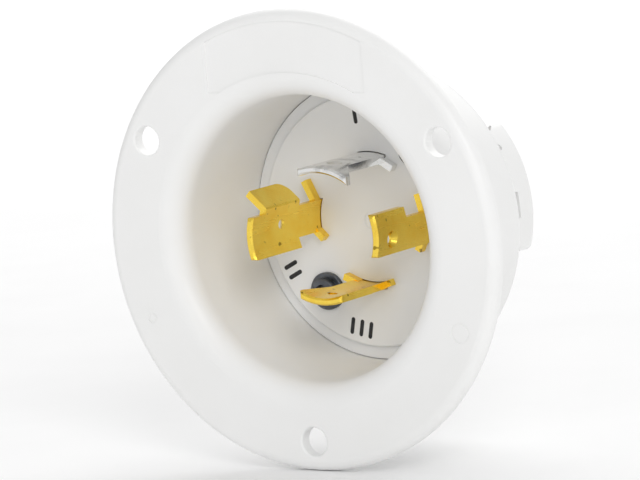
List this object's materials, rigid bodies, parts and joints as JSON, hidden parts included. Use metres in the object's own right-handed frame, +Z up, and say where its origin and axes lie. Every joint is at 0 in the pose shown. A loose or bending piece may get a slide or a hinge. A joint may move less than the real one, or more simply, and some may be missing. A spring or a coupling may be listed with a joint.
{
  "type": "flanged power inlet",
  "caption": "White flanged locking power inlet: round panel flange, deep cup with arc-section locking blades, and a rear terminal housing with screw clamps.",
  "frame": {"origin": "on the inlet's axis, in the rear face of the flange, which seats on the panel", "axes": "+Y runs back through the panel, so the front faces -Y; +Z is up, with two panel holes above and one below; +X is to the right seen from the front"},
  "size_m": [0.084, 0.0414, 0.084],
  "materials": {
    "nylon": "satin white nylon",
    "plate_nylon": "matte white nylon",
    "brass": "bright rolled brass",
    "brass_yoke": "tumbled brass",
    "brass_screw": "turned brass",
    "nickel": "bright nickel plate",
    "nickel_screw": "nickel plate",
    "dark_steel": "dark blued steel",
    "zinc_steel": "zinc-plated steel"
  },
  "bodies": {
    "root": {"flange_housing": "nylon", "face_plate": "plate_nylon", "rear_cover": "nylon", "assembly_screws": "dark_steel", "assembly_nuts": "zinc_steel", "blade_x": "brass", "terminal_yoke_x": "brass_yoke", "blade_w": "nickel", "terminal_yoke_w": "brass_yoke", "blade_z": "brass", "terminal_yoke_z": "brass_yoke", "blade_y": "brass", "terminal_yoke_y": "brass_yoke"},
    "clamp_x": {"pressure_plate_x": "zinc_steel"},
    "screw_x": {"terminal_screw_x": "brass_screw"},
    "clamp_w": {"pressure_plate_w": "zinc_steel"},
    "screw_w": {"terminal_screw_w": "nickel_screw"},
    "clamp_z": {"pressure_plate_z": "zinc_steel"},
    "screw_z": {"terminal_screw_z": "brass_screw"},
    "clamp_y": {"pressure_plate_y": "zinc_steel"},
    "screw_y": {"terminal_screw_y": "brass_screw"}
  },
  "joints": [
    {"name": "clamp_x_slide", "type": "slide", "parent": "root", "child": "clamp_x", "axis": [0, 0, -1], "range_m": [0, 0.0023]},
    {"name": "screw_x_turn", "type": "hinge", "parent": "clamp_x", "child": "screw_x", "pos_m": [0.0158, 0.033, 0.0016], "axis": [0, 0, -1], "range_deg": [0, 1044]},
    {"name": "clamp_w_slide", "type": "slide", "parent": "root", "child": "clamp_w", "axis": [1, 0, 0], "range_m": [0, 0.0023]},
    {"name": "screw_w_turn", "type": "hinge", "parent": "clamp_w", "child": "screw_w", "pos_m": [-0.0016, 0.033, 0.0158], "axis": [1, 0, 0], "range_deg": [0, 1044]},
    {"name": "clamp_z_slide", "type": "slide", "parent": "root", "child": "clamp_z", "axis": [0, 0, 1], "range_m": [0, 0.0023]},
    {"name": "screw_z_turn", "type": "hinge", "parent": "clamp_z", "child": "screw_z", "pos_m": [-0.0158, 0.033, -0.0016], "axis": [0, 0, 1], "range_deg": [0, 1044]},
    {"name": "clamp_y_slide", "type": "slide", "parent": "root", "child": "clamp_y", "axis": [-1, 0, 0], "range_m": [0, 0.0023]},
    {"name": "screw_y_turn", "type": "hinge", "parent": "clamp_y", "child": "screw_y", "pos_m": [0.0016, 0.033, -0.0158], "axis": [-1, 0, 0], "range_deg": [0, 1044]}
  ],
  "couplings": [
    {"joint": "screw_x_turn", "follows": "clamp_x_slide", "rad_per_m": 7915.8},
    {"joint": "screw_w_turn", "follows": "clamp_w_slide", "rad_per_m": 7915.8},
    {"joint": "screw_z_turn", "follows": "clamp_z_slide", "rad_per_m": 7915.8},
    {"joint": "screw_y_turn", "follows": "clamp_y_slide", "rad_per_m": 7915.8}
  ]
}
